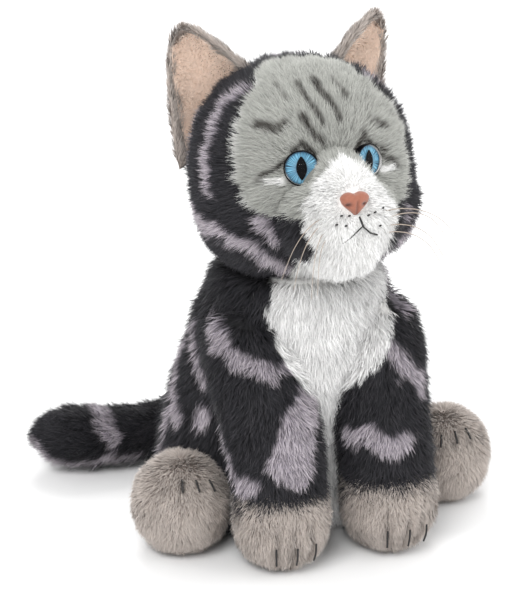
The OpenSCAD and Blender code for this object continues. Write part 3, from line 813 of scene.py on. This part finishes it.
# Ears: a blade cupped from its base line to its tip,
# P = base (1 - v) + tip v + (u - 0.5) w run - 4 cup u (1 - u) w N,
# with w = (1 - v)^taper
ear = {"inner": np.array([16, 1, 192.0]), "outer": np.array([46.5, 20, 163.0]),
       "tip": np.array([45.5, 18.5, 211.0]),
       "cup": 14, "thick": 1.5, "taper": 0.6}
earCoat = dict(coat, lean=66, leanJitter=5, bend=8, width=0.34, clump=0.2, jitter=0.16)
velour = dict(coat, lean=40, bend=5, width=0.30, clump=0.15, jitter=0.5)
earRun = ear["outer"] - ear["inner"]
earFront = unit(np.cross(earRun, ear["tip"] - ear["inner"]))


def earSheet(back, trim, around, along):
    u = np.linspace(trim, 1 - trim, around)[None, :, None]
    v = np.linspace(-0.25, 0.985 - trim, along)[:, None, None]
    w = (1 - v) ** ear["taper"]
    return (ear["inner"] + ear["outer"]) / 2 * (1 - v) + ear["tip"] * v + (u - 0.5) * w * earRun \
        - earFront * (ear["cup"] * 4 * u * (1 - u) * w + back)


def earShell(front, back, trim, around, along):
    # front sheet, then the back sheet in reverse, so that the row closes on itself round the edge
    sheets = [earSheet(front, trim, around, along), earSheet(back, trim, around, along)[:, ::-1]]
    ring = np.concatenate([sheets[0], sheets[1], sheets[0][:, :1]], 1)
    tip = ring[-1:].mean(1, keepdims=True) + 0 * ring[-1:]
    base = ring[:1].mean(1, keepdims=True) + 0 * ring[:1]
    return np.concatenate([base, ring, tip])


for side, sign in (("Left", 1), ("Right", -1)):
    low = side.lower()
    flip = (lambda p: p) if sign > 0 else (lambda p: p * np.array([-1, 1, 1]))
    toTip = flip(ear["tip"])
    shell = flip(earShell(ear["thick"], 2 * ear["thick"], 0, 26, 40))
    outerSide = np.ones((shell.shape[0] - 1, shell.shape[1] - 1))
    outerSide[:, 2:23] = 0
    pilePiece("earBack" + side, [shell], count(17000), earCoat, {"brown": even(0)},
              lambda p, n: toTip + [0, 0, 14] - p, even(4.8), earPile, body="ear_" + low,
              nodes=["ear_back_" + low], slot="grey_plush", cellWeight=outerSide)
    lining = flip(earShell(-0.3, ear["thick"] * 0.9, 0.085, 26, 40))
    pilePiece("earLining" + side, [lining], count(12000), velour, {}, lambda p, n: toTip + [0, 0, 10] - p,
              even(1.3),
              earVelour, body="ear_" + low, nodes=["ear_lining_" + low], slot="ear_velour")
print("coats done")


# Plain looks for the small parts

def plainMaterial(name, base, roughness, bumpScale=600.0, bumpDepth=0.00004, spread=0.12, **rest):
    # base colour times 1 - spread ... 1 + spread by noise, with a fine bump
    make = Maker(name)
    cloud = make.noise(bumpScale * 0.2, 2.0)
    shade = make.scale(base, (1 - spread) + 2 * spread * cloud)
    grain = make.noise(bumpScale, 4.0)
    return make.surface(Base_Color=shade, Roughness=roughness + 0.15 * grain,
                        Normal=make.bump(grain, 0.5, bumpDepth), **rest)


fillingLook = plainMaterial("fillingWadding", (0.80, 0.80, 0.78), 0.85, 300.0, 0.0004)
pelletLook = plainMaterial("pelletBag", (0.62, 0.55, 0.42), 0.8, 900.0, 0.0002)
threadLook = plainMaterial("blackThread", (0.012, 0.011, 0.011), 0.55, 4000.0, 0.00005)
bristleLook = plainMaterial("creamBristle", (0.36, 0.30, 0.25), 0.25, 2000.0, 0.00001, 0.05)
washerLook = plainMaterial("washer", (0.75, 0.75, 0.73), 0.4)
blackLook = plainMaterial("eyeBlack", (0.002, 0.002, 0.003), 0.35, 500.0, 0.00001, Specular_IOR_Level=0.1)
gussetLook = plainMaterial("gussetCloth", (0.02, 0.02, 0.022), 0.9, 1500.0, 0.0002)

# Wadding inside each cover
fill = {"depth": 1.0}
for name, grid, body, place in [
        ("torsoFilling", stackSkin(torsoRows, 60, 40), "torso", None),
        ("headFilling", headSkin(60, 40), "head", headToBody),
        ("legFillingLeft", stackSkin(legRows, 36, 24), "foreleg_left", None),
        ("legFillingRight", mirrored(stackSkin(legRows, 36, 24)), "foreleg_right", None),
        ("footFillingLeft", stackSkin(footRows, 36, 24) + [*footAt["left"], 0], "hind_foot_left", None),
        ("footFillingRight", stackSkin(footRows, 36, 24) + [*footAt["right"], 0], "hind_foot_right", None)]:
    node = {"torsoFilling": "torso_stuffing", "headFilling": "head_stuffing",
            "legFillingLeft": "foreleg_stuffing_left",
            "legFillingRight": "foreleg_stuffing_right", "footFillingLeft": "foot_stuffing_left",
            "footFillingRight": "foot_stuffing_right"}[name]
    piece = skinPiece(name, inset(grid, fill["depth"]), fillingLook, body, place, nodes=[node],
                      slot="stuffing")
rootEnd = 7
tailRoot = np.array(tailRows[:rootEnd - 1], float) * [1, 1, 1, 0.85]
tailTip = np.array(tailRows[rootEnd - 1:], float) * [1, 1, 1, 0.85]
for name, rows, body in (("tailRootFilling", [[*tailRoot[0, :3], 0], *tailRoot, [-43, 67, 18.2, 0]],
                          "tail_root"),
                         ("tailTipFilling", [[-50, 67.3, 17.8, 0], *tailTip], "tail_tip")):
    piece = skinPiece(name, tubeSkin(rows, 32, 30), fillingLook, body,
                      nodes=[{"tail_root": "tail_root_stuffing", "tail_tip": "tail_tip_stuffing"}[body]],
                      slot="stuffing")

# Eyes
eye = {"radius": 6.75, "dome": 7.6, "sink": 3.0, "pupil": (2.1, 4.7)}


def eyePlace(sign):
    # local (x, y, z) to the head's frame: z looks out along the splayed axis, then on to the body
    a = math.radians(eyeSeat["splay"]) * sign
    out = np.array([math.sin(a), -math.cos(a), 0])
    side = np.array([math.cos(a), math.sin(a), 0])
    at = eyeSeat["at"] * [sign, 1, 1]
    return lambda p: headToBody(at + p[..., :1] * side + p[..., 1:2] * np.array([0, 0, 1.0]) + p[...,
                                                                                                 2:3] * out)


def disc(radius, height, rings, around):
    r = np.linspace(0, 1, rings)[:, None]
    u = np.linspace(0, 2 * math.pi, around + 1)[None, :]
    return np.stack([radius * r * np.cos(u), radius * r * np.sin(u), height(r, u) + 0 * u], -1)


glass = Maker("eyeGlass")
clear = glass.node("ShaderNodeBsdfTransparent")
gloss = glass.node("ShaderNodeBsdfGlossy", {}, {"Color": colour(1, 1, 1), "Roughness": 0.03})
facing = glass.node("ShaderNodeLayerWeight", {}, {"Blend": 0.12}, out="Fresnel")
glass.output(glass.node("ShaderNodeMixShader", {}, {0: facing * 0.4, 1: clear, 2: gloss}))
glassLook = glass.material

iris = Maker("eyeBlue")
ringMask, streak = iris.mask("ring"), iris.mask("streak")
blue = iris.ramp(ringMask, (0.0, (0.04, 0.09, 0.14)), (0.38, (0.06, 0.15, 0.24)), (0.7, (0.08, 0.28, 0.44)),
                 (0.9, (0.03, 0.15, 0.27)), (1.0, (0.004, 0.02, 0.04)))
blue = iris.mix(streak, blue, iris.ramp(ringMask, (0.0, (0.22, 0.33, 0.42)), (0.8, (0.26, 0.60, 0.78)),
                                        (1.0, (0.03, 0.14, 0.24))))
blue = iris.mix(iris.mask("ray"), blue, colour(0.008, 0.045, 0.08))
irisLook = iris.surface(Base_Color=blue, Roughness=0.3 + 0.2 * iris.noise(3000.0), Metallic=0.0)
for side, sign in (("Left", 1), ("Right", -1)):
    low = side.lower()
    place = eyePlace(sign)
    dome = disc(eye["radius"], lambda r,
                u: np.sqrt(eye["dome"] ** 2 - (eye["radius"] * r) ** 2) - eye["sink"], 24, 72)
    skinPiece("eyeDome" + side, dome, glassLook, "head", place, out=1, nodes=["eye_dome_" + low],
              slot="eye_clear")
    flatEye = disc(eye["radius"] - 0.1, lambda r, u: 0.15 - 0.5 * r + 0 * u, 40, 180)
    rr = np.linspace(0, 1, 40)[:, None] + 0 * np.linspace(0, 1, 181)[None, :]
    uu = np.linspace(0, 2 * math.pi, 181)[None, :] + 0 * rr
    ray = np.sin(uu * 37 + 3 * np.sin(uu * 5)) * 0.5 + np.sin(uu * 61 + 2) * 0.3 + rng.normal(size=(1,
        181)) * 0.35
    ray[:, -1] = ray[:, 0]
    skinPiece("eyeIris" + side, flatEye, irisLook, "head", place, out=1, nodes=["eye_iris_" + low],
              slot="eye_blue",
              masks={"ring": rr, "streak": np.clip(ray * step(0.15, 0.4, rr) * step(1.0, 0.85, rr), 0, 1),
                     "ray": np.clip(-1.9 * ray * step(0.4, 0.8, rr), 0, 1)})
    slit = disc(1, lambda r, u: 0.35 + 0 * r * u, 12, 72)
    slit = slit * [*eye["pupil"], 1]
    slit[..., 0] *= np.sqrt(np.maximum(1 - (slit[..., 1] / eye["pupil"][1]) ** 2 * 0.75, 0.0))
    skinPiece("eyePupil" + side, slit, blackLook, "head", place, out=1, nodes=["eye_pupil_" + low],
              slot="eye_black")
    t = np.linspace(0, 2 * math.pi, 73)
    rim = np.stack([6.8 * np.cos(t), 6.8 * np.sin(t), 0.3 + 0 * t, 0 * t], -1)
    c, r = rim[:, :3], rim[:, 3:]
    ringU = np.linspace(0, 2 * math.pi, 13)[None, :, None]
    rad = unit(c - [0, 0, 0.3])
    tube = c[:, None] + 0.3 * (np.cos(ringU) * rad[:, None] + np.sin(ringU) * np.array([0, 0, 1.0]))
    tube[-1] = tube[0]
    skinPiece("eyeRim" + side, tube, blackLook, "head", place, out=-1, slot="eye_black")

# Nose: a rounded wedge, wide above and narrow below, with two nostrils and a groove pressed in
nose = {"at": np.array([0, -57.0, -7.0]), "half": (6.0, 3.2), "nostril": (3.3, -0.9), "groove": 0.6}


def noseForm():
    v = np.linspace(-math.pi / 2, math.pi / 2, 60)[:, None]
    u = np.linspace(0, 2 * math.pi, 97)[None, :]
    sx, sy, sz = np.cos(v) * np.sin(u), -np.cos(v) * np.cos(u), np.sin(v) + 0 * u
    taper = 0.22 + 0.80 * step(-1.15, 0.3, sz)
    x = nose["half"][0] * np.sign(sx) * np.abs(sx) ** 0.8 * taper
    z = np.where(sz > 0, 4.0 * np.abs(sz) ** 0.7,
                 -5.4 * np.abs(sz) ** 0.9) - 0.9 * np.exp(-(x / 1.6) ** 2) * (sz > 0) * sz
    y = nose["half"][1] * sy * (1 + 0.15 * sz)
    front = step(0.2, -0.6, sy)
    hole = np.exp(-((np.abs(x) - nose["nostril"][0]) / 1.15) ** 2
                  - ((z - nose["nostril"][1]) / 0.75) ** 2) * front
    groove = np.exp(-(x / 0.55) ** 2) * front * step(1.5, -1.0, z)
    # the second value is how much painted shade each point gets in the nostrils and the groove
    return np.stack([x, y + 1.5 * hole + nose["groove"] * groove, z], -1), hole + 0.5 * groove


noseLook = Maker("nosePink")
pressed = noseLook.mask("hollow")
skin = noseLook.mix(noseLook.noise(900.0, 3.0), colour(0.24, 0.078, 0.042), colour(0.37, 0.13, 0.078))
# painted shade: the nostrils and the groove are darkened where they are pressed in
skin = noseLook.mix(pressed, skin, colour(0.07, 0.018, 0.012))
flock = noseLook.noise(2600.0, 3.0)
noseMaterial = noseLook.surface(Base_Color=skin, Roughness=0.5 + 0.3 * flock,
                                Normal=noseLook.bump(flock, 0.6, 0.0001),
                                Sheen_Weight=0.3)
form, hollow = noseForm()
skinPiece("nose", form + nose["at"], noseMaterial, "head", headToBody, nodes=["nose"], slot="nose_pink",
          masks={"hollow": hollow})


# Threads, whiskers and dots

def strandSet(name, lines, material, body, place=None, around=8, **rest):
    # several tapering tubes as one mesh; each line is rows of [x, y, z, r]
    points, faces, normals, start = [], [], [], 0
    for line in lines:
        line = smoothRows(line, max(8, 4 * len(line)))
        ends = np.array([[*line[0, :3], 0.0]]), np.array([[*line[-1, :3], 0.0]])
        c = np.concatenate([ends[0], line, ends[1]])
        t = unit(np.gradient(line[:, :3], axis=0))
        t = np.concatenate([t[:1], t, t[-1:]])
        s = unit(np.cross(t, [0.31, 0.12, 0.94]))
        up = np.cross(s, t)
        u = np.linspace(0, 2 * math.pi, around + 1)[None, :, None]
        grid = c[:, None, :3] + c[:, None, 3:] * (np.cos(u) * s[:, None] + np.sin(u) * up[:, None])
        around3 = gridNormals(grid[1:-1], 1)
        out = 1 if np.sum(around3 * (grid[1:-1] - c[1:-1, None, :3])) > 0 else -1
        f, _ = gridFaces(grid, out)
        n = unit(grid - c[:, None, :3])
        n[0], n[-1] = -t[0], t[-1]
        points.append(grid.reshape(-1, 3))
        normals.append(n.reshape(-1, 3))
        faces.append(f + start)
        start += len(points[-1])
    p, f, n = tidyPoints(np.concatenate(points), np.concatenate(faces), np.concatenate(normals))
    if place:
        n = unit(place(p + n) - place(p))
        p = place(p)
    return makeMesh(name, p, f, None, n, None, material, body, **rest)


def lay(points, lift, r):
    # head-frame points moved onto the head's skin plus lift, with the thread's radius
    return [[*q, r] for q in onHead(points, lift)]


thread = {"radius": 0.42, "lift": 2.6}
mouth = [lay([(0.6, -57, -12), (1.5, -57.5, -15), (1.8, -57.5, -16)], thread["lift"], thread["radius"]),
         lay([(1.8, -57.5, -16), (3, -57.5, -17), (4.8, -57.3, -18.6), (7.6, -56.6, -19.6)], thread["lift"],
             0.34),
         lay([(1.6, -57.5, -16.2), (-1.2, -57.5, -18.6), (-3.4, -57, -20.4), (-6, -56, -22)],
             thread["lift"] - 0.7, 0.26)]
strandSet("mouthStitches", mouth, threadLook, "head", headToBody, nodes=["mouth_stitches"], slot="thread")
dots = []
for x, y, z in [(-6.2, -56.8, -11.4), (-3.2, -57, -11.6), (-4.8, -57.6, -15.2), (-8.2, -56, -14.2),
                (4.5, -57.2, -12.2), (7.4, -56.5, -11.4), (11.4, -54.4, -10.4), (9, -57, -16.6)]:
    a, b = onHead([(x - 0.5, y, z)], 2.2)[0], onHead([(x + 0.5, y, z + 0.2)], 2.2)[0]
    dots.append([[*a, 0.3], [*(a * 0.5 + b * 0.5), 0.38], [*b, 0.3]])
strandSet("whiskerDots", dots, threadLook, "head", headToBody, nodes=["whisker_dots"], slot="thread")
bristle = {"root": 0.21, "tip": 0.10}
whiskerEnds = {1: [(43, -56, -25), (39, -53, -24), (38, -54, -33), (37, -54, -36)],
               -1: [(-30, -53, -35), (-26, -55, -39), (-20, -58, -43), (-17, -57, -42)]}
for side, sign in (("Left", 1), ("Right", -1)):
    lines = []
    for (x, y, z), tip in zip([(11, -50, -11), (12, -50, -13.5), (11.5, -50, -16), (10.5, -50, -18.5)],
                              whiskerEnds[sign]):
        a, b = onHead([(x * sign, y, z)], 0.5)[0], np.array(tip, float)
        rows = [[*(a + (b - a) * t + np.array([2.0 * sign, -3.0, 6.0]) * 4 * t * (1 - t) * 0.8),
                 bristle["root"] + (bristle["tip"] - bristle["root"]) * t] for t in (0, 0.2, 0.45, 0.72, 1)]
        lines.append(rows)
    strandSet("whiskers" + side, lines, bristleLook, "head", headToBody, nodes=["whiskers_" + side.lower()],
              slot="bristle")

# Claw stitches
for side, sign in (("Left", 1), ("Right", -1)):
    low = side.lower()
    lines = []
    for turn in toes[low]:
        a = math.radians(turn)
        rows = [[sign * pawAt[0] + r * math.sin(a), pawAt[1] - r * math.cos(a), z, 0.4]
                for r, z in ((19.6, 8), (20.8, 12), (20.9, 16))]
        lines.append(rows)
    strandSet("pawStitches" + side, lines, threadLook, "foreleg_" + low, nodes=["paw_stitches_" + low],
              slot="thread")
    cx, cy = footAt[low]
    lines = []
    for turn, lift in ((-28, 38), (-6, 42), (16, 44)):
        a = math.radians(turn if sign > 0 else -turn)
        rows = []
        for d in (-7, 0, 7):
            b = math.radians(lift + d)
            rows.append([cx + 22.6 * math.cos(b) * math.sin(a), cy - 22.6 * math.cos(b) * math.cos(a),
                         19.5 + 22.6 * math.sin(b), 0.45])
        lines.append(rows)
    strandSet("footStitches" + side, lines, threadLook, "hind_foot_" + low, nodes=["foot_stitches_" + low],
              slot="thread")

# The parts inside keep their own forms
for name, look in (("pellet_bag", pelletLook), ("neck_gusset", gussetLook), ("seat_panel", gussetLook),
                   ("closing_stitches", threadLook), ("nose_washer", washerLook),
                   ("eye_post_left", blackLook),
                   ("eye_post_right", blackLook), ("eye_washer_left", washerLook),
                   ("eye_washer_right", washerLook)):
    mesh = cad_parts[name].data
    mesh.materials.clear()
    mesh.materials.append(look)
print("small parts done")

# Studio
studio = {"lens": 115, "aim": (-0.0168, 0.0061, 0.0964), "away": 0.812, "azimuth": -20, "elevation": 20,
          "lights": [((-0.9, -1.1, 1.5), 1.0, 26), ((1.3, -0.9, 0.9), 1.2, 11), ((0.3, 1.3, 1.4), 1.0, 16)],
          "sky": 0.75}
camera = bpy.data.objects.new("camera", bpy.data.cameras.new("camera"))
camera.data.lens, camera.data.sensor_width = studio["lens"], 36
az, el = math.radians(studio["azimuth"]), math.radians(studio["elevation"])
aim = np.array(studio["aim"])
look = np.array([math.sin(az) * math.cos(el), -math.cos(az) * math.cos(el), math.sin(el)])
camera.location = aim + look * studio["away"]
camera.rotation_euler = Vector(look).to_track_quat("Z", "Y").to_euler()
bpy.context.scene.collection.objects.link(camera)
bpy.context.scene.camera = camera
bpy.context.scene.view_settings.view_transform = "Standard"
for k, (place, size, power) in enumerate(studio["lights"]):
    lamp = bpy.data.objects.new("lamp%d" % k, bpy.data.lights.new("lamp%d" % k, "AREA"))
    lamp.data.energy, lamp.data.size = power, size
    lamp.location = place
    lamp.rotation_euler = (Vector(place) - Vector((0, 0, 0.1))).to_track_quat("Z", "Y").to_euler()
    bpy.context.scene.collection.objects.link(lamp)
world = bpy.data.worlds.new("sky")
world.use_nodes = True
world.node_tree.nodes["Background"].inputs["Color"].default_value = (1, 1, 1, 1)
world.node_tree.nodes["Background"].inputs["Strength"].default_value = studio["sky"]
bpy.context.scene.world = world
floorMake = Maker("floorPaper")
paper = floorMake.mix(floorMake.noise(3.0), colour(0.90, 0.90, 0.90), colour(0.93, 0.93, 0.93))
floorLook = floorMake.surface(Base_Color=paper, Roughness=0.9 + 0.05 * floorMake.noise(40.0))
reach = 4000.0
floor = makeMesh("floor", np.array([[-reach, -reach, 0], [reach, -reach, 0], [reach, reach, 0],
                                    [-reach, reach, 0.0]]),
                 np.array([[0, 1, 2], [0, 2, 3]]), material=floorLook)
